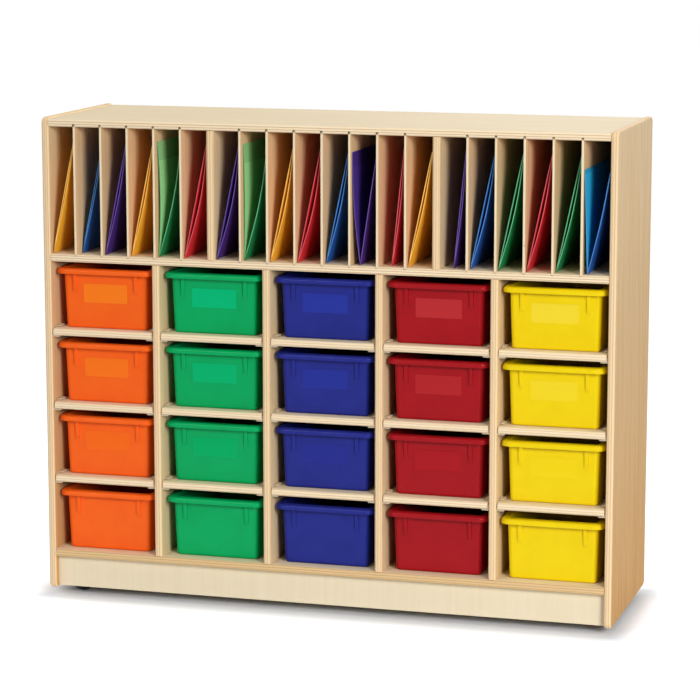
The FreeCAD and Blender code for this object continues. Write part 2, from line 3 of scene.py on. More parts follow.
import logging
import math
from collections.abc import Iterable
from dataclasses import dataclass
from enum import Enum
from typing import ClassVar, NamedTuple

import bmesh
import bpy
from bpy.types import Material, Mesh, Node, NodeSocket, NodeTree, Object
from mathutils import Matrix, Vector


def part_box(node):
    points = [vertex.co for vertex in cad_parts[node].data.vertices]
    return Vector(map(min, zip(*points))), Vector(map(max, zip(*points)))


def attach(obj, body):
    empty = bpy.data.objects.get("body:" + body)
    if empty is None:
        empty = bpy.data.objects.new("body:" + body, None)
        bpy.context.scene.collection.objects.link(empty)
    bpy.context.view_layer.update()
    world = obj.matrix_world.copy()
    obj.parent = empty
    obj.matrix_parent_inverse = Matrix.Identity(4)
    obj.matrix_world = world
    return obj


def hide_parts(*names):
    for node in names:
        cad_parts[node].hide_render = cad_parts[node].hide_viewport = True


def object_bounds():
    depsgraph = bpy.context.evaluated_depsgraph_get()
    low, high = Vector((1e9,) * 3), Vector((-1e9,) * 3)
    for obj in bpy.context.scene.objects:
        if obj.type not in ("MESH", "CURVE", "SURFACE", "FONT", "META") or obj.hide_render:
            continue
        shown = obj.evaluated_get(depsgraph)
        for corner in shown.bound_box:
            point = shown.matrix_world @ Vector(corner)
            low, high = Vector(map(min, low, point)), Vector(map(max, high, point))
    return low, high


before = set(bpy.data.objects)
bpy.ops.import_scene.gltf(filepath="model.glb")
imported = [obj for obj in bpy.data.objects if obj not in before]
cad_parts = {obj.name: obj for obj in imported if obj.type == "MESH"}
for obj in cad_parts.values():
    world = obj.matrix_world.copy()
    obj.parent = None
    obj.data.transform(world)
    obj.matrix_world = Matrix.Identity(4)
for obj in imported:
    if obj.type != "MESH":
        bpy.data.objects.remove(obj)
CAD_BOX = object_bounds()

MM = 0.001
NODES: dict[str, Object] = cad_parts
WHITE = "#FFFFFF"
Rgba = tuple[float, float, float, float]
Triple = tuple[float, float, float]
Span = tuple[float, float]
log = logging.getLogger("cubby_storage_unit")


class Axis(Enum):
    """Direction in the part's frame."""

    X = (1.0, 0.0, 0.0)
    Y = (0.0, 1.0, 0.0)
    Z = (0.0, 0.0, 1.0)


class TrayColour(Enum):
    """Plastic of a tray column: main tone, shaded tone, tint of the label film on it."""

    ORANGE = ("#F8661A", "#F05C16", "#FA7D1C")
    GREEN = ("#00A85D", "#009C56", "#00B674")
    BLUE = ("#252D88", "#20277B", "#283599")
    RED = ("#A4141C", "#981118", "#B62D30")
    YELLOW = ("#EDD10C", "#E8C708", "#EFD430")


class CardColour(Enum):
    """Card of a folder: colour outside, colour inside, colour of the worn cut edge."""

    YELLOW = ("#FFB82E", "#F9C052", "#FFCE66")
    BLUE = ("#1E58B4", "#2EC2EC", "#4E90D4")
    PURPLE = ("#43247C", "#4E3490", "#6C4EA4")
    GREEN = ("#128A4C", "#AEEB9C", "#6ABE8A")
    RED = ("#D82632", "#D03A42", "#DE5C64")


class Stance(Enum):
    """How a folder stands in its slot."""

    LEANING = "closed, leaning on the right wall"
    STEEP = "closed, standing right of the middle"
    OPEN = "open, with one leaf against each wall"


def linear(hex_colour: str) -> Rgba:
    """Turns an sRGB hex value into linear light, by the curve of the sRGB standard.

    Args:
        hex_colour: Six hex digits after a number sign.

    Returns:
        Linear red, green, blue and full alpha.
    """
    parts = [int(hex_colour[i:i + 2], 16) / 255 for i in (1, 3, 5)]
    r, g, b = (c / 12.92 if c <= 0.04045 else ((c + 0.055) / 1.055) ** 2.4 for c in parts)
    return r, g, b, 1.0


def closed_pairs(ring: list) -> list[tuple]:
    """Pairs each item of a ring with the next one round."""
    return list(zip(ring, ring[1:] + ring[:1]))


def add(tree: NodeTree, kind: str, inputs: dict | None = None, **settings: object) -> Node:
    """Adds a node with its settings and links.

    Args:
        tree: Node tree that gets the node.
        kind: Blender's name for the node's type.
        inputs: For each input, by name or number, its value, its colour as hex, or the socket
            that feeds it. A node feeds it from its first output in use.
        **settings: The node's own properties.

    Returns:
        The new node.
    """
    node = tree.nodes.new(kind)
    for key, value in settings.items():
        setattr(node, key, value)
    for key, value in (inputs or {}).items():
        if isinstance(value, Node):
            value = next(output for output in value.outputs if output.enabled)
        if isinstance(value, NodeSocket):
            tree.links.new(value, node.inputs[key])
        else:
            node.inputs[key].default_value = linear(value) if isinstance(value, str) else value
    return node


def blank_material(name: str) -> tuple[Material, NodeTree]:
    """Makes an empty node material.

    Args:
        name: Name of the real material.

    Returns:
        The material and its tree.
    """
    material = bpy.data.materials.new(name)
    material.use_nodes = True
    material.node_tree.nodes.clear()
    return material, material.node_tree


def pattern(tree: NodeTree, size_mm: float | Triple, detail: float) -> dict[str, object]:
    """Counts the piece's own coordinates in real pattern sizes.

    Args:
        tree: Material tree.
        size_mm: Size of the pattern, the same every way or along X, Y and Z.
        detail: How many finer layers it has.

    Returns:
        Inputs of a noise node.
    """
    sizes = (size_mm,) * 3 if isinstance(size_mm, float) else size_mm
    scale = tuple(1 / (MM * size) for size in sizes)
    place = add(tree, "ShaderNodeTexCoord").outputs["Object"]
    counted = add(tree, "ShaderNodeMapping", {"Vector": place, "Scale": scale})
    return {"Vector": counted, "Scale": 1.0, "Detail": detail}


def limits(label: str, span: Span) -> dict[str, float]:
    """Gives the two ends of a span as inputs of a Map Range node."""
    return {f"{label} Min": span[0], f"{label} Max": span[1]}


def blend(factor: Node, first: str | Node, second: str | Node) -> dict[int, str | Node]:
    """Gives a Mix node's colour inputs, by number because their names aren't unique."""
    return {0: factor, 6: first, 7: second}


def own_place(tree: NodeTree, letter: str) -> NodeSocket:
    """Gives the piece's own place along X, Y or Z."""
    place = add(tree, "ShaderNodeTexCoord").outputs["Object"]
    return add(tree, "ShaderNodeSeparateXYZ", {0: place}).outputs[letter]


def facing(tree: NodeTree, way: Axis, span: Span) -> Node:
    """Tells how far the surface has turned between two slopes.

    Args:
        tree: Material tree.
        way: Direction that the surface's normal is held against.
        span: Share of the normal along that direction which gives 0, and which gives 1.

    Returns:
        Node that gives the share.
    """
    normal = add(tree, "ShaderNodeTexCoord").outputs["Normal"]
    along = add(tree, "ShaderNodeVectorMath", {0: normal, 1: way.value}, operation="DOT_PRODUCT")
    share = add(tree, "ShaderNodeMath", {0: along}, operation="ABSOLUTE")
    return add(tree, "ShaderNodeMapRange", {"Value": share, **limits("From", span)})


def dress(nodes: Iterable[str], material: Material) -> None:
    """Gives CAD nodes a material.

    Args:
        nodes: Names of the nodes.
        material: What they get.
    """
    for name in nodes:
        slots = NODES[name].data.materials
        slots.clear()
        slots.append(material)
        log.info("node %s: %s", name, material.name)


def new_object(name: str, mesh: Mesh) -> Object:
    """Links a new object at the origin.

    Args:
        name: Name of the piece.
        mesh: Its mesh, in place.

    Returns:
        The object.
    """
    made = bpy.data.objects.new(name, mesh)
    bpy.context.scene.collection.objects.link(made)
    return made


def plain_mesh(piece: Object) -> Object:
    """Turns a piece's live modifiers into its plain mesh, without empty material slots.

    Args:
        piece: Object with modifiers.

    Returns:
        The same object, with none.
    """
    graph = bpy.context.evaluated_depsgraph_get()
    mesh = bpy.data.meshes.new_from_object(piece.evaluated_get(graph))
    piece.modifiers.clear()
    piece.data = mesh
    mesh.name = piece.name
    empty = [i for i, material in enumerate(mesh.materials) if material is None]
    for index in reversed(empty):
        mesh.materials.pop(index=index)
    return piece


def grown(name: str, tree: NodeTree, values: dict[str, object]) -> Object:
    """Makes an object from a Geometry Nodes tree, with the modifier still live.

    Args:
        name: Name of the piece.
        tree: The tree.
        values: Value for each named input.

    Returns:
        The object.
    """
    made = new_object(name, bpy.data.meshes.new(name))
    modifier = made.modifiers.new("form", "NODES")
    modifier.node_group = tree
    for item in tree.interface.items_tree:
        if item.in_out == "INPUT" and item.name in values:
            modifier[item.identifier] = values[item.name]
    return made


def form_tree(name: str, inputs: dict[str, str]) -> tuple[NodeTree, Node]:
    """Starts a Geometry Nodes tree with named inputs.

    Args:
        name: Name of the form.
        inputs: Socket type for each input.

    Returns:
        The tree and its input node.
    """
    tree = bpy.data.node_groups.new(name, "GeometryNodeTree")
    tree.interface.new_socket("Geometry", in_out="OUTPUT", socket_type="NodeSocketGeometry")
    for label, kind in inputs.items():
        tree.interface.new_socket(label, in_out="INPUT", socket_type=kind)
    return tree, add(tree, "NodeGroupInput")


def end_form(tree: NodeTree, geometry: Node, *coats: dict[str, Node | NodeSocket]) -> None:
    """Ends a Geometry Nodes tree with real geometry in its materials.

    Args:
        tree: The tree.
        geometry: What it has built.
        *coats: Material, and selection where it isn't all, for each coat in turn.
    """
    done = add(tree, "GeometryNodeRealizeInstances", {"Geometry": geometry})
    for coat in coats:
        done = add(tree, "GeometryNodeSetMaterial", {"Geometry": done, **coat})
    add(tree, "NodeGroupOutput", {"Geometry": done})


@dataclass(frozen=True)
class Finish:
    """What every finish shares: its name and how its pattern becomes a material."""

    name: str

    def surface(self, tree: NodeTree) -> dict[str, object]:
        """Builds the finish's own pattern.

        Args:
            tree: Material tree.

        Returns:
            What each input of the shader gets, as add takes it.
        """
        raise NotImplementedError

    def material(self) -> Material:
        """Builds the material.

        Returns:
            The finish as a material.
        """
        material, tree = blank_material(self.name)
        shader = add(tree, "ShaderNodeBsdfPrincipled", self.surface(tree))
        add(tree, "ShaderNodeOutputMaterial", {"Surface": shader})
        return material


@dataclass(frozen=True)
class Plywood(Finish):
    """Birch plywood, rotary-cut face veneer under clear lacquer.

    The eye sees a pale cream face with faint long figure, and tan bands of ply on the cut edges.
    """

    normal: Axis
    grain: Axis
    face_light: str = "#EBDABB"
    face_dark: str = "#DFCAA4"
    # Darker, warmer tones at the foot: painted shade on the lower panel
    foot_light: str = ""
    foot_dark: str = ""
    edge_light: str = "#EDD0A6"
    edge_dark: str = "#C49A6A"
    # Colour of the groove walls: painted shade in the grooves
    groove: str = ""
    void: str = "#4A3220"
    # Length along the grain and width across it
    figure_mm: Span = (260.0, 9.0)
    fleck_mm: Span = (22.0, 1.6)
    fleck_share: float = 0.35
    # Height of the joint pattern at which the veneer starts to darken, and is darkest
    figure_span: Span = (0.45, 0.95)
    # Real plies are about 1.4 mm; drawn this coarse so that they show from a step away
    ply_mm: float = 2.6
    ply_span: Span = (0.3, 0.95)
    ply_depth: float = 0.6
    wander_mm: float = 1.2
    wander_length_mm: float = 60.0
    void_spacing_mm: float = 75.0
    # Shares of that spacing: outside a void, and inside it
    void_span: Span = (0.03, 0.02)
    # Shares of the surface's normal: on the face and on the cut edge, off and on a groove's wall
    cut_span: Span = (0.97, 0.8)
    wall_span: Span = (0.85, 0.95)
    end_margin_mm: float = 30.0
    roughness: Span = (0.6, 0.75)
    relief: float = 0.12
    relief_mm: float = 0.3
    ior: float = 1.5
    specular: float = 0.12

    def stretched(self, size_mm: Span) -> Triple:
        """Turns a pattern's length and width into its size along X, Y and Z."""
        return tuple(size_mm[0] if part else size_mm[1] for part in self.grain.value)

    def surface(self, tree: NodeTree) -> dict[str, object]:
        """Lays figure and flecks on the faces, and plies on the cut edges.

        Args:
            tree: Material tree.

        Returns:
            The shader's inputs.
        """
        figure = add(tree, "ShaderNodeTexNoise", {
            **pattern(tree, self.stretched(self.figure_mm), 4.0), "Roughness": 0.55,
            "Distortion": 0.6})
        fleck = add(tree, "ShaderNodeTexNoise", pattern(tree, self.stretched(self.fleck_mm), 2.0))
        both = add(tree, "ShaderNodeMath", {0: fleck, 1: self.fleck_share, 2: figure},
                   operation="MULTIPLY_ADD")
        tone = add(tree, "ShaderNodeMapRange", {"Value": both, **limits("From", self.figure_span)})
        face = add(tree, "ShaderNodeMix", blend(tone, self.face_light, self.face_dark),
                   data_type="RGBA")
        # Painted shade, darker towards the foot
        if self.foot_light:
            face = self.painted_foot_shade(tree, tone, face)
        cut = facing(tree, self.normal, self.cut_span)
        colour = add(tree, "ShaderNodeMix", blend(cut, face, self.edge_colour(tree)),
                     data_type="RGBA")
        # Painted shade on the walls of the grooves
        if self.groove:
            colour = self.paint_groove_shade(tree, colour)
        rough = add(tree, "ShaderNodeMapRange", {"Value": both, **limits("To", self.roughness)})
        bump = add(tree, "ShaderNodeBump", {
            "Height": both, "Strength": self.relief, "Distance": self.relief_mm * MM})
        return {"Base Color": colour, "Roughness": rough, "Normal": bump, "IOR": self.ior,
                "Specular IOR Level": self.specular}

    def paint_groove_shade(self, tree: NodeTree, colour: Node) -> Node:
        """Darkens the walls of the grooves, which face along X: painted shade.

        Args:
            tree: Material tree.
            colour: Colour of the rest of the panel.

        Returns:
            Node that gives the colour.
        """
        wall = facing(tree, Axis.X, self.wall_span)
        # The panel's own ends face along X too, and stay pale
        off = add(tree, "ShaderNodeMath", {0: own_place(tree, "X")}, operation="ABSOLUTE")
        end = CAD_BOX[1].x - self.end_margin_mm * MM
        between = add(tree, "ShaderNodeMath", {0: off, 1: end}, operation="LESS_THAN")
        # Painted shade on the groove walls, but not on the panel's ends
        groove_shade_mask = add(tree, "ShaderNodeMath", {0: wall, 1: between}, operation="MULTIPLY")
        return add(tree, "ShaderNodeMix", blend(groove_shade_mask, colour, self.groove), data_type="RGBA")

    def painted_foot_shade(self, tree: NodeTree, tone: Node, face: Node) -> Node:
        """Darkens and warms the veneer towards the foot: painted shade on the lower panel.

        Args:
            tree: Material tree.
            tone: Figure, from light to dark.
            face: Colour at the top.

        Returns:
            Node that gives the colour.
        """
        foot = add(tree, "ShaderNodeMix", blend(tone, self.foot_light, self.foot_dark),
                   data_type="RGBA")
        low = add(tree, "ShaderNodeMapRange", {
            "Value": own_place(tree, "Z"), **limits("From", (CAD_BOX[1].z, 0.0))})
        return add(tree, "ShaderNodeMix", blend(low, face, foot), data_type="RGBA")

    def edge_colour(self, tree: NodeTree) -> Node:
        """Colours the cut edge: bands of ply, with a dark void here and there.

        Args:
            tree: Material tree.

        Returns:
            Node that gives the colour.
        """
        place = add(tree, "ShaderNodeTexCoord").outputs["Object"]
        depth = add(tree, "ShaderNodeVectorMath", {0: place, 1: self.normal.value},
                    operation="DOT_PRODUCT")
        wander = add(tree, "ShaderNodeTexNoise", {
            "Vector": place, "Scale": 1 / (self.wander_length_mm * MM), "Detail": 1.0})
        moved = add(tree, "ShaderNodeMath", {
            0: wander, 1: self.wander_mm * MM, 2: depth}, operation="MULTIPLY_ADD")
        turns = add(tree, "ShaderNodeMath", {0: moved, 1: math.pi / (self.ply_mm * MM)},
                    operation="MULTIPLY")
        wave = add(tree, "ShaderNodeMath", {0: turns}, operation="SINE")
        band = add(tree, "ShaderNodeMapRange", {
            "Value": wave, **limits("From", self.ply_span), "To Max": self.ply_depth})
        plies = add(tree, "ShaderNodeMix", blend(band, self.edge_light, self.edge_dark),
                    data_type="RGBA")
        cells = add(tree, "ShaderNodeTexVoronoi", {
            "Vector": place, "Scale": 1 / (self.void_spacing_mm * MM)})
        gap = add(tree, "ShaderNodeMapRange", {"Value": cells, **limits("From", self.void_span)})
        return add(tree, "ShaderNodeMix", blend(gap, plies, self.void), data_type="RGBA")


@dataclass(frozen=True)
class MouldedPlastic(Finish):
    """Polypropylene, injection moulded: a satin skin with a faint orange peel and soft mottling."""

    colour: str
    shade: str
    mottle_mm: float = 45.0
    mottle_span: Span = (0.35, 0.75)
    mottle_depth: float = 0.6
    # The mould's texture is finer; drawn this coarse so that it breaks up the gloss
    peel_mm: float = 2.2
    relief: float = 0.08
    relief_mm: float = 0.2
    roughness: Span = (0.26, 0.4)
    ior: float = 1.49
    specular: float = 0.02
    coat: float = 0.17
    coat_roughness: float = 0.1

    def surface(self, tree: NodeTree) -> dict[str, object]:
        """Mottles the skin and roughens it with the mould's texture.

        Args:
            tree: Material tree.

        Returns:
            The shader's inputs.
        """
        mottle = add(tree, "ShaderNodeTexNoise", pattern(tree, self.mottle_mm, 3.0))
        peel = add(tree, "ShaderNodeTexNoise", pattern(tree, self.peel_mm, 1.0))
        tone = add(tree, "ShaderNodeMapRange", {
            "Value": mottle, **limits("From", self.mottle_span), "To Max": self.mottle_depth})
        colour = add(tree, "ShaderNodeMix", blend(tone, self.colour, self.shade), data_type="RGBA")
        rough = add(tree, "ShaderNodeMapRange", {"Value": mottle, **limits("To", self.roughness)})
        bump = add(tree, "ShaderNodeBump", {
            "Height": peel, "Strength": self.relief, "Distance": self.relief_mm * MM})
        return {"Base Color": colour, "Roughness": rough, "Normal": bump, "IOR": self.ior,
                "Specular IOR Level": self.specular, "Coat Weight": self.coat,
                "Coat Roughness": self.coat_roughness}


@dataclass(frozen=True)
class ClearPlastic(Finish):
    """Clear polycarbonate, injection moulded: some of the wood behind it, and a pale gloss."""

    name: str = "clear_polycarbonate"
    tint: str = "#FFEED0"
    cover: float = 0.5
    flow_mm: float = 6.0
    roughness: Span = (0.08, 0.2)
    ior: float = 1.58
    specular: float = 0.3

    def surface(self, tree: NodeTree) -> dict[str, object]:
        """Varies the gloss along the flow of the plastic.

        Args:
            tree: Material tree.

        Returns:
            The shader's inputs.
        """
        flow = add(tree, "ShaderNodeTexNoise", pattern(tree, self.flow_mm, 2.0))
        rough = add(tree, "ShaderNodeMapRange", {"Value": flow, **limits("To", self.roughness)})
        return {"Base Color": self.tint, "Roughness": rough, "IOR": self.ior,
                "Specular IOR Level": self.specular, "Alpha": self.cover}


@dataclass(frozen=True)
class LabelFilm(Finish):
    """Vinyl film with a matt face, in a lighter tone of the tray's colour, fainter with wear."""

    plastic: str
    tint: str
    strength: float
    grain_mm: float = 1.5
    roughness: Span = (0.4, 0.6)
    ior: float = 1.5
    specular: float = 0.1

    def surface(self, tree: NodeTree) -> dict[str, object]:
        """Takes a tone between the plastic and the tint, with a fine grain.

        Args:
            tree: Material tree.

        Returns:
            The shader's inputs.
        """
        pair = zip(linear(self.plastic), linear(self.tint))
        tone = tuple(a + (b - a) * self.strength for a, b in pair)
        grain = add(tree, "ShaderNodeTexNoise", pattern(tree, self.grain_mm, 1.0))
        rough = add(tree, "ShaderNodeMapRange", {"Value": grain, **limits("To", self.roughness)})
        return {"Base Color": tone, "Roughness": rough, "IOR": self.ior,
                "Specular IOR Level": self.specular}


@dataclass(frozen=True)
class Card(Finish):
    """Coated folder card: even colour with a faint fibre, darker above a pocket if it has one."""

    colour: str
    pocket_top: float = 0.0
    pocket_edge_mm: float = 1.5
    bare_tone: float = 0.8
    fibre_mm: float = 3.0
    fibre_span: Span = (0.88, 1.08)
    relief: float = 0.1
    relief_mm: float = 0.1
    roughness: float = 0.5
    ior: float = 1.48

    def surface(self, tree: NodeTree) -> dict[str, object]:
        """Shades the card by its fibre and its pocket.

        Args:
            tree: Material tree.

        Returns:
            The shader's inputs.
        """
        fibre = add(tree, "ShaderNodeTexNoise", pattern(tree, self.fibre_mm, 4.0))
        tone = add(tree, "ShaderNodeMapRange", {"Value": fibre, **limits("To", self.fibre_span)})
        if self.pocket_top:
            rim = self.pocket_top + self.pocket_edge_mm * MM
            bare = add(tree, "ShaderNodeMapRange", {
                "Value": own_place(tree, "Z"), **limits("From", (self.pocket_top, rim)),
                **limits("To", (1.0, self.bare_tone))})
            tone = add(tree, "ShaderNodeMath", {0: tone, 1: bare}, operation="MULTIPLY")
        colour = add(tree, "ShaderNodeVectorMath", {0: linear(self.colour)[:3], "Scale": tone},
                     operation="SCALE")
        bump = add(tree, "ShaderNodeBump", {
            "Height": fibre, "Strength": self.relief, "Distance": self.relief_mm * MM})
        return {"Base Color": colour, "Roughness": self.roughness, "Normal": bump, "IOR": self.ior}


@dataclass(frozen=True)
class ZincSteel(Finish):
    """Mild steel, pressed and bright zinc plated: a grey metal with a soft cloudy spangle."""

    name: str = "zinc_plated_steel"
    light: str = "#C9CCD0"
    dark: str = "#A4A8AD"
    cloud_mm: float = 7.0
    roughness: Span = (0.25, 0.45)

    def surface(self, tree: NodeTree) -> dict[str, object]:
        """Clouds the plating.

        Args:
            tree: Material tree.

        Returns:
            The shader's inputs.
        """
        cloud = add(tree, "ShaderNodeTexNoise", pattern(tree, self.cloud_mm, 3.0))
        colour = add(tree, "ShaderNodeMix", blend(cloud, self.light, self.dark), data_type="RGBA")
        rough = add(tree, "ShaderNodeMapRange", {"Value": cloud, **limits("To", self.roughness)})
        return {"Base Color": colour, "Roughness": rough, "Metallic": 1.0}


@dataclass(frozen=True)
class TreadAndHub(Finish):
    """Rubber tread moulded on a grey nylon hub: dull black outside, satin grey by the axle."""

    centre: Triple
    tread: str = "#1B1B1C"
    hub: str = "#4A4B4D"
    # Radius at which the hub ends, and the tread starts
    hub_span: Span = (17.5 * MM, 18.1 * MM)
    dust_mm: float = 5.0
    relief: float = 0.15
    relief_mm: float = 0.2
    roughness: Span = (0.5, 0.8)
    ior: float = 1.52

    def surface(self, tree: NodeTree) -> dict[str, object]:
        """Parts hub from tread by the distance from the axle, and dusts both.

        Args:
            tree: Material tree.

        Returns:
            The shader's inputs.
        """
        place = add(tree, "ShaderNodeTexCoord").outputs["Object"]
        away = add(tree, "ShaderNodeVectorMath", {0: place, 1: self.centre}, operation="DISTANCE")
        outer = add(tree, "ShaderNodeMapRange", {"Value": away, **limits("From", self.hub_span)})
        colour = add(tree, "ShaderNodeMix", blend(outer, self.hub, self.tread), data_type="RGBA")
        dust = add(tree, "ShaderNodeTexNoise", pattern(tree, self.dust_mm, 4.0))
        rough = add(tree, "ShaderNodeMapRange", {"Value": dust, **limits("To", self.roughness)})
        bump = add(tree, "ShaderNodeBump", {
            "Height": dust, "Strength": self.relief, "Distance": self.relief_mm * MM})
        return {"Base Color": colour, "Roughness": rough, "Normal": bump, "IOR": self.ior}


@dataclass
class Case:
    """The plywood case: panels by the way they face, dividers, dowels and clips."""

    sides: tuple[str, ...] = ("side_panel_left", "side_panel_right")
    upright: tuple[str, ...] = ("bay_divider_left", "bay_divider_right", "column_divider_1",
                                "column_divider_2", "column_divider_3", "column_divider_4")
    grooved: tuple[str, ...] = ("top_panel", "portfolio_deck")
    level: tuple[str, ...] = ("shelves_column_1", "shelves_column_2", "shelves_column_3",
                              "shelves_column_4", "shelves_column_5", "caster_blocks")
    kick: tuple[str, ...] = ("kick_board_front", "kick_board_rear")

    def build(self) -> None:
        """Dresses every fixed node of the case, apart from its steel."""
        finishes = (
            # The sides darken and warm towards the foot: painted shade on the lower panel
            (self.sides, Plywood(
                "birch_plywood_side", Axis.X, Axis.Z, face_light="#E6CDA6", face_dark="#D6B688",
                foot_light="#D2A56B", foot_dark="#BE8C50")),
            (self.grooved, Plywood(
                "birch_plywood_grooved", Axis.Z, Axis.X, edge_light="#F3DEBB", edge_dark="#AE8050",
                groove="#2B1B10")),
            (self.upright, Plywood(
                "birch_plywood_upright", Axis.X, Axis.Z, face_light="#E8CFA6",
                face_dark="#D8B686")),
            (self.level, Plywood(
                "birch_plywood_level", Axis.Z, Axis.X, edge_light="#F3DEBB", edge_dark="#CDA87A")),
            (["bottom_panel"], Plywood(
                "birch_plywood_bottom", Axis.Z, Axis.X, edge_light="#DFBE8C", edge_dark="#B08352")),
            (self.kick, Plywood(
                "birch_plywood_kick", Axis.Y, Axis.Z, face_light="#E9DBBE", face_dark="#E5D5B5")),
            (["back_panel"], Plywood("birch_plywood_back", Axis.Y, Axis.Z)),
            (["slot_dividers"], Plywood(
                "thin_birch_plywood", Axis.X, Axis.Z, face_light="#EBC89C", face_dark="#DBB07F",
                edge_light="#F2E0BE", edge_dark="#D2B487", void="#D2B487", ply_mm=1.5)),
            (["panel_dowels"], Plywood(
                "beech_dowel", Axis.Y, Axis.X, face_light="#D9B38A", face_dark="#C79A6C")),
            (["shelf_clips"], ClearPlastic()),
        )
        for nodes, finish in finishes:
            dress(nodes, finish.material())


@dataclass
class Screws:
    """Cross-recessed screws that stand for the plain CAD ones, placed where those are."""

    head_d: float = 8.0 * MM
    sunk_head_h: float = 2.4 * MM
    pan_head_h: float = 2.5 * MM
    pan_round: float = 1.25 * MM
    pan_bevel: float = 0.37 * MM
    tip_h: float = 1.5 * MM
    tip_r: float = 0.4 * MM
    recess_span: float = 4.4 * MM
    recess_width: float = 1.0 * MM
    recess_depth: float = 1.3 * MM
    recess_taper: float = 0.7
    sides: int = 24
    weld: float = 0.001 * MM

    def build(self) -> None:
        """Replaces the back panel's screws and the caster plates' screws."""
        steel = ZincSteel().material()
        dress(["caster_plates"], steel)
        self.replace("back_screws", Vector((0, 1, 0)), steel)
        self.replace("caster_screws", Vector((0, 0, -1)), steel)

    def places(self, node: str, outward: Vector) -> list[Vector]:
        """Finds the middle of each screw's outer face.

        Args:
            node: CAD node of separate screws.
            outward: Way that the heads face.

        Returns:
            A point for each screw.
        """
        copy = bmesh.new()
        copy.from_mesh(NODES[node].data)
        bmesh.ops.remove_doubles(copy, verts=copy.verts, dist=self.weld)
        left = set(copy.verts)
        found = []
        while left:
            island, edge = set(), [left.pop()]
            while edge:
                vert = edge.pop()
                island.add(vert)
                for link in vert.link_edges:
                    other = link.other_vert(vert)
                    if other in left:
                        left.remove(other)
                        edge.append(other)
            low, high = (Vector(pick(v.co[i] for v in island) for i in range(3))
                         for pick in (min, max))
            reach = abs((high - low).dot(outward)) / 2
            found.append((low + high) / 2 + outward * reach)
        copy.free()
        return sorted(found, key=lambda p: tuple(round(c, 5) for c in p))

    def profile(self, sunk: bool, length: float) -> list[Span]:
        """Gives a screw's radii from its face down to its tip.

        Args:
            sunk: Whether the head is countersunk, or else a pan head.
            length: Length of the whole screw.

        Returns:
            Radius and height of each ring.
        """
        head, shank = self.head_d / 2, self.head_d / 4
        if sunk:
            rings = [(head, 0.0), (shank, -self.sunk_head_h)]
        else:
            rings = [(head - self.pan_round, 0.0), (head - self.pan_bevel, -self.pan_bevel),
                     (head, -self.pan_round), (head, -self.pan_head_h), (shank, -self.pan_head_h)]
        return rings + [(shank, -length + self.tip_h), (self.tip_r, -length)]

    def shape(self, node: str, outward: Vector) -> Object:
        """Models one screw's head and shank about the origin, with its face at z = 0.

        Args:
            node: CAD node that gives the screw's length and head.
            outward: Way that the heads face.

        Returns:
            A pattern object for the copies.
        """
        low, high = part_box(node)
        length = abs((high - low).dot(outward))
        form = bmesh.new()
        angles = [math.tau * i / self.sides for i in range(self.sides)]
        rings = [[form.verts.new((radius * math.cos(a), radius * math.sin(a), z)) for a in angles]
                 for radius, z in self.profile(node == "back_screws", length)]
        for upper, lower in zip(rings, rings[1:]):
            for (a, b), (c, d) in zip(closed_pairs(upper), closed_pairs(lower)):
                form.faces.new((a, c, d, b))
        form.faces.new(list(reversed(rings[-1])))
        self.recessed_face(form, rings[0])
        bmesh.ops.recalc_face_normals(form, faces=form.faces)
        mesh = bpy.data.meshes.new(f"{node}_pattern")
        form.to_mesh(mesh)
        form.free()
        return new_object(mesh.name, mesh)

    def recessed_face(self, form: bmesh.types.BMesh, rim: list[bmesh.types.BMVert]) -> None:
        """Closes the head with a cross-shaped recess.

        Args:
            form: Screw under construction.
            rim: Outer ring of the head's face.
        """
        reach, half = self.recess_span / 2, self.recess_width / 2
        quarter = [(reach, -half), (reach, half), (half, half)]
        outline = []
        for c, s in ((1, 0), (0, 1), (-1, 0), (0, -1)):
            outline += [(c * x - s * y, s * x + c * y) for x, y in quarter]
        taper = self.recess_taper
        top = [form.verts.new((x, y, 0.0)) for x, y in outline]
        floor = [form.verts.new((taper * x, taper * y, -self.recess_depth)) for x, y in outline]
        for (a, b), (c, d) in zip(closed_pairs(top), closed_pairs(floor)):
            form.faces.new((a, b, d, c))
        form.faces.new(floor)
        edges = [form.edges.get(pair) for ring in (rim, top) for pair in closed_pairs(ring)]
        bmesh.ops.triangle_fill(form, use_beauty=True, use_dissolve=False, edges=edges)

    def replace(self, node: str, outward: Vector, steel: Material) -> None:
        """Sets a detailed screw at each place of a CAD node and hides the node.

        Args:
            node: CAD node of separate screws.
            outward: Way that the heads face.
            steel: Their material.
        """
        pattern = self.shape(node, outward)
        spots = self.places(node, outward)
        points = bpy.data.meshes.new(f"{node}_places")
        points.from_pydata(spots, [], [])
        turn = outward.to_track_quat("Z", "Y").to_euler()
        tree, given = form_tree(f"{node}_set", {
            "Places": "NodeSocketGeometry", "Screw": "NodeSocketObject",
            "Turn": "NodeSocketVector", "Steel": "NodeSocketMaterial"})
        screw = add(tree, "GeometryNodeObjectInfo", {"Object": given.outputs["Screw"]})
        angles = add(tree, "FunctionNodeEulerToRotation", {"Euler": given.outputs["Turn"]})
        copies = add(tree, "GeometryNodeInstanceOnPoints", {
            "Points": given.outputs["Places"], "Instance": screw.outputs["Geometry"],
            "Rotation": angles})
        end_form(tree, copies, {"Material": given.outputs["Steel"]})
        made = grown(f"cross_{node}", tree, {"Screw": pattern, "Turn": tuple(turn), "Steel": steel})
        made.data = points
        plain_mesh(made)
        bpy.data.objects.remove(pattern)
        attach(made, "case")
        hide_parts(node)
        log.info("piece %s: %d screws", made.name, len(spots))


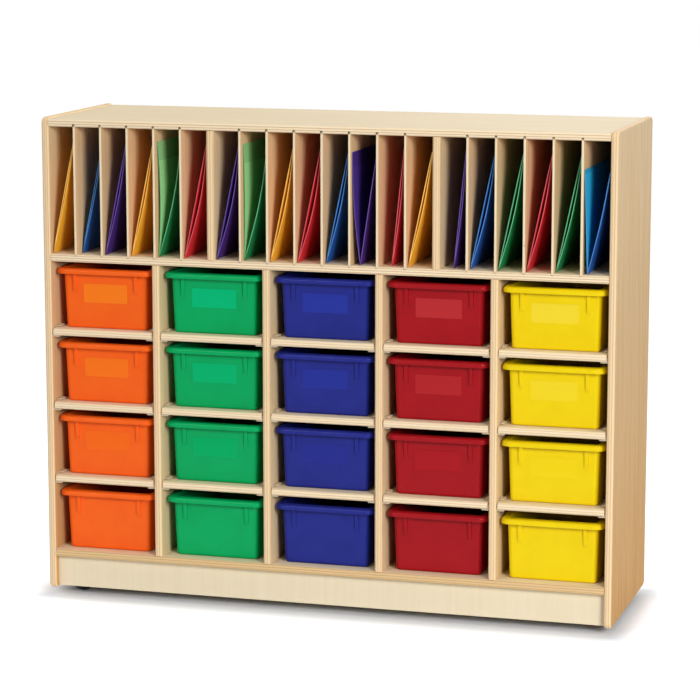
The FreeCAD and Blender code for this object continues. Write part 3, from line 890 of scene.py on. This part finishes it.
@dataclass
class Trays:
    """The coloured trays and the bare label films on the upper rows."""

    label_w: float = 97.0 * MM
    label_h: float = 40.0 * MM
    label_t: float = 0.3 * MM
    label_lift: float = 0.15 * MM
    label_corner: float = 2.0 * MM
    label_below_rim: float = 21.0 * MM
    corner_steps: int = 4
    weld: float = 0.01 * MM
    rim_h: float = 11.0 * MM
    rim_overhang: float = 13.5 * MM
    draft: float = 4.0 * MM
    rows: int = 4

    # How much of its tint the film keeps in each row, from the top
    STRENGTHS: ClassVar[Triple] = (1.0, 0.6, 0.15)

    def build(self) -> None:
        """Dresses the trays and adds their label films."""
        tree = self.film_tree()
        for tray_colour in TrayColour:
            colour = tray_colour.name.lower()
            main, shade, tint = tray_colour.value
            plastic = MouldedPlastic(f"polypropylene_{colour}", main, shade).material()
            dress([f"tray_{colour}_{row}" for row in range(1, self.rows + 1)], plastic)
            for row, strength in enumerate(self.STRENGTHS, 1):
                film = LabelFilm(f"vinyl_film_{colour}_{row}", main, tint, strength)
                self.label(tree, f"tray_{colour}_{row}", film.material())

    def film_tree(self) -> NodeTree:
        """Builds the form of a film: a thin plate with rounded corners.

        Returns:
            The tree.
        """
        sizes = dict.fromkeys(("Width", "Height", "Thickness", "Corner"), "NodeSocketFloat")
        tree, given = form_tree("label_film", sizes | {"Film": "NodeSocketMaterial"})
        outline = add(tree, "GeometryNodeCurvePrimitiveQuadrilateral", {
            "Width": given.outputs["Width"], "Height": given.outputs["Height"]})
        rounded = add(tree, "GeometryNodeFilletCurve", {
            "Curve": outline, "Radius": given.outputs["Corner"], "Count": self.corner_steps},
            mode="POLY")
        face = add(tree, "GeometryNodeFillCurve", {"Curve": rounded}, mode="NGONS")
        plate = add(tree, "GeometryNodeExtrudeMesh", {
            "Mesh": face, "Offset Scale": given.outputs["Thickness"]})
        back = add(tree, "GeometryNodeFlipFaces", {"Mesh": face})
        both = add(tree, "GeometryNodeJoinGeometry")
        for part in (plate, back):
            tree.links.new(part.outputs["Mesh"], both.inputs["Geometry"])
        closed = add(tree, "GeometryNodeMergeByDistance", {"Geometry": both, "Distance": self.weld})
        end_form(tree, closed, {"Material": given.outputs["Film"]})
        return tree

    def label(self, tree: NodeTree, node: str, film: Material) -> None:
        """Lays a film on a tray's front.

        Args:
            tree: Form of the film.
            node: Tray that carries it.
            film: Its material.
        """
        low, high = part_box(node)
        height = high.z - low.z
        middle = height - self.rim_h - self.label_below_rim - self.label_h / 2
        wall = low.y + self.rim_overhang + self.draft * (1 - middle / height) - self.label_lift
        piece = plain_mesh(grown(f"label_{node}", tree, {
            "Width": self.label_w, "Height": self.label_h, "Thickness": self.label_t,
            "Corner": self.label_corner, "Film": film}))
        upright = Matrix.Rotation(math.pi / 2 + math.atan(self.draft / height), 4, "X")
        place = Matrix.Translation(((low.x + high.x) / 2, wall, low.z + middle))
        piece.data.transform(place @ upright)
        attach(piece, node)
        log.info("piece %s", piece.name)


@dataclass(frozen=True)
class Folder:
    """One card folder: its slot, colour and stance, and in mm its place, bows and height."""

    slot: int
    colour: CardColour
    stance: Stance = Stance.LEANING
    back: float = 12.0
    foot: float = 2.0
    bow: float = 6.0
    inner_bow: float = 0.0
    height: float = 239.0


@dataclass
class Folders:
    """Card folders that stand in the portfolio slots."""

    leaf_d: float = 302.0 * MM
    # Two sheets of card with their pocket, drawn as one
    card_t: float = 1.4 * MM
    wall_gap: float = 1.6 * MM
    lift: float = 1.2 * MM
    pocket_h: float = 200.0 * MM
    steps: int = 24
    # A face with a side below this many thicknesses is a cut edge
    edge_limit: float = 1.5
    thin_divider: float = 10.0 * MM

    SET: ClassVar[tuple[Folder, ...]] = (
        Folder(1, CardColour.YELLOW, bow=3.0),
        Folder(2, CardColour.BLUE, back=30.0, bow=3.0),
        Folder(3, CardColour.PURPLE, bow=5.0),
        Folder(4, CardColour.YELLOW, bow=5.0),
        Folder(5, CardColour.GREEN, Stance.OPEN, back=17.0, bow=7.0, inner_bow=5.0),
        Folder(6, CardColour.RED, bow=9.0),
        Folder(7, CardColour.PURPLE, bow=9.0),
        Folder(8, CardColour.GREEN, Stance.OPEN, back=17.0, bow=7.0, inner_bow=2.0),
        Folder(9, CardColour.YELLOW, bow=7.0),
        Folder(10, CardColour.RED, bow=9.0),
        Folder(11, CardColour.BLUE, back=18.0),
        Folder(12, CardColour.PURPLE, Stance.OPEN, foot=18.0, bow=0.0, inner_bow=-4.5,
               height=230.0),
        Folder(13, CardColour.RED, Stance.STEEP, foot=26.0, bow=4.0),
        Folder(14, CardColour.YELLOW, bow=5.0),
        Folder(15, CardColour.PURPLE, Stance.STEEP, foot=27.0, bow=3.0),
        Folder(16, CardColour.BLUE, back=16.0, bow=7.0),
        Folder(17, CardColour.GREEN, bow=7.0),
        Folder(18, CardColour.RED, bow=7.0),
        Folder(19, CardColour.GREEN, back=18.0),
        Folder(20, CardColour.BLUE, Stance.OPEN, back=8.0, foot=9.0, bow=3.0, height=208.0),
    )

    def build(self) -> None:
        """Stands each folder in its slot."""
        cards = {}
        pocket_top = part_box("portfolio_deck")[1].z + self.pocket_h
        for colour in CardColour:
            name = f"folder_card_{colour.name.lower()}"
            outside, inside, edge = colour.value
            finishes = (Card(name, outside), Card(f"{name}_inside", inside, pocket_top),
                        Card(f"{name}_edge", edge))
            cards[colour] = [finish.material() for finish in finishes]
        tree = self.sheet_tree()
        walls = self.slot_walls()
        for folder in self.SET:
            self.stand(tree, folder, walls[folder.slot - 1], cards[folder.colour])

    def slot_walls(self) -> list[Span]:
        """Works out each slot's left and right wall from the nodes beside it.

        Returns:
            Two X places for each slot, from left to right.
        """
        xs = sorted({round(v.co.x, 5) for v in NODES["slot_dividers"].data.vertices})
        solid = [(a, b) for a, b in zip(xs, xs[1:]) if b - a < self.thin_divider]
        for name in ("bay_divider_left", "bay_divider_right"):
            low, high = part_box(name)
            solid.append((low.x, high.x))
        solid.sort()
        starts = [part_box("side_panel_left")[1].x] + [b for _, b in solid]
        ends = [a for a, _ in solid] + [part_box("side_panel_right")[0].x]
        return list(zip(starts, ends))

    def sheet_tree(self) -> NodeTree:
        """Builds the form of a folder: one sheet with two leaves that rise from its fold.

        Returns:
            The tree.
        """
        leaf_sizes = [f"{what} {side}" for side in ("Left", "Right")
                      for what in ("Reach", "Rise", "Bow")]
        tree, given = form_tree("card_folder", dict.fromkeys(leaf_sizes, "NodeSocketFloat") | {
            "Depth": "NodeSocketFloat", "Steps": "NodeSocketInt", "Place": "NodeSocketVector",
            "Left Card": "NodeSocketMaterial", "Right Card": "NodeSocketMaterial"})
        grid = add(tree, "GeometryNodeMeshGrid", {
            "Size X": 2.0, "Size Y": given.outputs["Depth"],
            "Vertices X": given.outputs["Steps"], "Vertices Y": 2})
        spot = add(tree, "ShaderNodeSeparateXYZ", {0: add(tree, "GeometryNodeInputPosition")})
        along = add(tree, "ShaderNodeMath", {0: spot.outputs["X"]}, operation="ABSOLUTE")
        on_left = add(tree, "FunctionNodeCompare", {0: spot.outputs["X"], 1: 0.0},
                      data_type="FLOAT", operation="LESS_THAN")

        def either(what: str) -> Node:
            """Picks a leaf's own size."""
            return add(tree, "GeometryNodeSwitch", {
                0: on_left, 1: given.outputs[f"{what} Right"], 2: given.outputs[f"{what} Left"]},
                input_type="FLOAT")

        turn = add(tree, "ShaderNodeMath", {0: along, 1: math.pi}, operation="MULTIPLY")
        swell = add(tree, "ShaderNodeMath", {0: turn}, operation="SINE")
        bulge = add(tree, "ShaderNodeMath", {0: swell, 1: either("Bow")}, operation="MULTIPLY")
        x = add(tree, "ShaderNodeMath", {0: along, 1: either("Reach"), 2: bulge},
                operation="MULTIPLY_ADD")
        z = add(tree, "ShaderNodeMath", {0: along, 1: either("Rise")}, operation="MULTIPLY")
        shaped = add(tree, "ShaderNodeCombineXYZ", {"X": x, "Y": spot.outputs["Y"], "Z": z})
        sheet = add(tree, "GeometryNodeSetPosition", {"Geometry": grid, "Position": shaped})
        moved = add(tree, "GeometryNodeTransform", {
            "Geometry": sheet, "Translation": given.outputs["Place"]})
        faces = add(tree, "ShaderNodeMath", {0: given.outputs["Steps"], 1: 1.0},
                    operation="SUBTRACT")
        middle = add(tree, "ShaderNodeMath", {0: faces, 1: 2.0}, operation="DIVIDE")
        right_leaf = add(tree, "FunctionNodeCompare", {
            0: add(tree, "GeometryNodeInputIndex"), 1: middle},
            data_type="FLOAT", operation="GREATER_EQUAL")
        end_form(tree, moved, {"Material": given.outputs["Left Card"]},
                 {"Selection": right_leaf, "Material": given.outputs["Right Card"]})
        return tree

    def stand(self, tree: NodeTree, folder: Folder, walls: Span, cards: list[Material]) -> None:
        """Builds one folder in its slot.

        Args:
            tree: Form of a folder.
            folder: Which one it is.
            walls: Its slot's left and right wall.
            cards: Its card outside, inside and on the cut edge.
        """
        outside, inside, edge = cards
        left, right = walls
        low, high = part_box("portfolio_deck")
        height = folder.height * MM
        fold = left + folder.foot * MM
        reach = right - self.wall_gap - fold
        rise = math.sqrt(height ** 2 - reach ** 2)
        if folder.stance is Stance.OPEN:
            lean = left + self.wall_gap - fold
            leaf = (lean, math.sqrt(height ** 2 - lean ** 2), folder.inner_bow * MM, inside)
        else:
            leaf = (reach - self.card_t, rise, 0.0, outside)
        front = low.y + folder.back * MM
        piece = grown(f"folder_{folder.slot:02d}_{folder.colour.name.lower()}", tree, {
            "Depth": self.leaf_d, "Steps": 2 * self.steps + 1,
            "Reach Left": leaf[0], "Rise Left": leaf[1], "Bow Left": leaf[2], "Left Card": leaf[3],
            "Reach Right": reach, "Rise Right": rise, "Bow Right": folder.bow * MM,
            "Right Card": outside, "Place": (fold, front + self.leaf_d / 2, high.z + self.lift)})
        wall = piece.modifiers.new("card", "SOLIDIFY")
        wall.thickness = self.card_t
        wall.offset = 0.0
        plain_mesh(piece)
        piece.data.materials.append(edge)
        self.pale_edges(piece)
        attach(piece, "case")
        log.info("piece %s: %s", piece.name, folder.stance.value)

    def pale_edges(self, piece: Object) -> None:
        """Gives the cut edges of the card their paler colour.

        Args:
            piece: Folder with its edge as the last material.
        """
        last = len(piece.data.materials) - 1
        for face in piece.data.polygons:
            corners = [piece.data.vertices[i].co for i in face.vertices]
            shortest = min((a - b).length for a, b in closed_pairs(corners))
            if shortest < self.edge_limit * self.card_t:
                face.material_index = last


@dataclass
class Casters:
    """Swivel casters: forks, axles and wheels."""

    corners: tuple[str, ...] = ("front_left", "front_right", "rear_left", "rear_right")

    def build(self) -> None:
        """Dresses the turning nodes, in the same steel as the screws."""
        steel = bpy.data.materials[ZincSteel.name]
        for corner in self.corners:
            dress([f"caster_fork_{corner}", f"caster_axle_{corner}"], steel)
            low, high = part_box(f"caster_wheel_{corner}")
            wheel = TreadAndHub(f"rubber_and_nylon_{corner}", tuple((low + high) / 2))
            dress([f"caster_wheel_{corner}"], wheel.material())


class Lamp(NamedTuple):
    """A square lamp: its place and width in metres, and its power in watts."""

    name: str
    place: Triple
    width: float
    power: float


@dataclass
class Studio:
    """Pale floor, soft lamps and the camera."""

    focal_px: float = 2749.8
    image_px: float = 700.0
    sensor_mm: float = 36.0
    yaw_deg: float = 16.177
    pitch_deg: float = 9.754
    place: Triple = (1.6024, -5.5059, 1.5147)
    floor_size: float = 60.0
    floor_colour: str = "#EDF1F7"
    sweep_end_colour: str = "#3C3C3C"
    sweep_end: Span = (1.0, 2.2)
    # Reach round the unit where the floor gets no lift: painted contact shadow
    painted_shadow_reach: float = 0.055
    floor_lift: float = 0.45
    world_light: float = 0.12

    LAMPS: ClassVar[tuple[Lamp, ...]] = (
        Lamp("key", (3.9, -4.3, 2.2), 1.8, 250.0),
        Lamp("fill", (-2.2, -4.6, 3.2), 1.8, 62.0),
        Lamp("side", (4.6, -0.6, 2.0), 3.0, 16.0),
        Lamp("top", (0.0, -0.4, 4.0), 3.0, 42.0),
        Lamp("rear", (0.3, 4.7, 2.0), 3.0, 130.0),
        Lamp("left", (-4.2, 1.6, 1.8), 3.0, 95.0),
    )

    def build(self) -> None:
        """Sets up the whole studio."""
        bpy.context.scene.view_settings.view_transform = "Standard"
        self.world()
        self.floor()
        self.lamps()
        self.camera()

    def seen(self, tree: NodeTree) -> Node:
        """Gives 1 for rays that show the background, straight, mirrored or through glass.

        Args:
            tree: Material or world tree.

        Returns:
            Node that gives the number.
        """
        path = add(tree, "ShaderNodeLightPath").outputs
        mirrored = add(tree, "ShaderNodeMath", {0: path["Is Camera Ray"], 1: path["Is Glossy Ray"]},
                       operation="MAXIMUM")
        return add(tree, "ShaderNodeMath", {0: mirrored, 1: path["Is Transmission Ray"]},
                   operation="MAXIMUM")

    def world(self) -> None:
        """Makes a white surround that lights the object gently."""
        world = bpy.data.worlds.new("studio")
        bpy.context.scene.world = world
        world.use_nodes = True
        tree = world.node_tree
        tree.nodes.clear()
        light, shown = (
            add(tree, "ShaderNodeBackground", {"Color": WHITE, "Strength": strength})
            for strength in (self.world_light, 1.0))
        mix = add(tree, "ShaderNodeMixShader", {0: self.seen(tree), 1: light, 2: shown})
        add(tree, "ShaderNodeOutputWorld", {"Surface": mix})

    def floor(self) -> None:
        """Makes a pale sweep that takes the shadow.

        It shows white away from the unit and ends in a dim room. Close round the unit it gets
        no lift and stays darker: a painted contact shadow over the real one.
        """
        half = self.floor_size / 2
        mesh = bpy.data.meshes.new("studio_floor")
        corners = [(-half, -half, 0), (half, -half, 0), (half, half, 0), (-half, half, 0)]
        mesh.from_pydata(corners, [], [(0, 1, 2, 3)])
        floor = new_object("studio_floor", mesh)
        material, tree = blank_material("pale_studio_floor")
        place = add(tree, "ShaderNodeTexCoord").outputs["Object"]
        mirrored = add(tree, "ShaderNodeVectorMath", {0: place}, operation="ABSOLUTE")
        past = add(tree, "ShaderNodeVectorMath", {0: mirrored, 1: tuple(CAD_BOX[1])},
                   operation="SUBTRACT")
        beside = add(tree, "ShaderNodeVectorMath", {0: past, 1: (0.0,) * 3}, operation="MAXIMUM")
        away = add(tree, "ShaderNodeVectorMath", {0: beside}, operation="LENGTH")
        outside = add(tree, "ShaderNodeMapRange", {"Value": away, **limits("From", self.sweep_end)})
        # No lift close round the unit, so the floor stays darker there: painted contact shadow over
        # the real one
        lift = add(tree, "ShaderNodeMapRange", {
            "Value": away, "From Max": self.painted_shadow_reach, "To Max": self.floor_lift},
            interpolation_type="SMOOTHSTEP")
        level = add(tree, "ShaderNodeMath", {0: outside, 1: 1.0 - self.floor_lift, 2: lift},
                    operation="MULTIPLY_ADD")
        shown = add(tree, "ShaderNodeMath", {0: level, 1: self.seen(tree)}, operation="MULTIPLY")
        paper = add(tree, "ShaderNodeMix", blend(outside, self.floor_colour, self.sweep_end_colour),
                    data_type="RGBA")
        matt = add(tree, "ShaderNodeBsdfDiffuse", {"Color": paper})
        white = add(tree, "ShaderNodeEmission", {"Color": WHITE, "Strength": shown})
        both = add(tree, "ShaderNodeAddShader", {0: matt, 1: white})
        add(tree, "ShaderNodeOutputMaterial", {"Surface": both})
        floor.data.materials.append(material)

    def lamps(self) -> None:
        """Hangs the soft lamps, all turned to the middle of the unit."""
        target = (CAD_BOX[0] + CAD_BOX[1]) / 2
        for lamp in self.LAMPS:
            data = bpy.data.lights.new(lamp.name, "AREA")
            data.size = lamp.width
            data.energy = lamp.power
            hung = bpy.data.objects.new(lamp.name, data)
            hung.location = lamp.place
            aim = target - Vector(lamp.place)
            hung.rotation_euler = aim.to_track_quat("-Z", "Y").to_euler()
            bpy.context.scene.collection.objects.link(hung)

    def camera(self) -> None:
        """Sets the camera at the photograph's angle."""
        data = bpy.data.cameras.new("camera")
        data.sensor_width = self.sensor_mm
        data.lens = self.sensor_mm * self.focal_px / self.image_px
        camera = bpy.data.objects.new("camera", data)
        camera.location = self.place
        tilt = math.pi / 2 - math.radians(self.pitch_deg)
        camera.rotation_euler = (tilt, 0.0, math.radians(self.yaw_deg))
        bpy.context.scene.collection.objects.link(camera)
        bpy.context.scene.camera = camera


def main() -> None:
    """Builds the looks in order."""
    logging.basicConfig(level=logging.INFO, format="%(message)s")
    for assembly in (Case(), Screws(), Trays(), Folders(), Casters(), Studio()):
        log.info("building %s", type(assembly).__name__)
        assembly.build()
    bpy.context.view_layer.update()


if __name__ == "__main__":
    main()
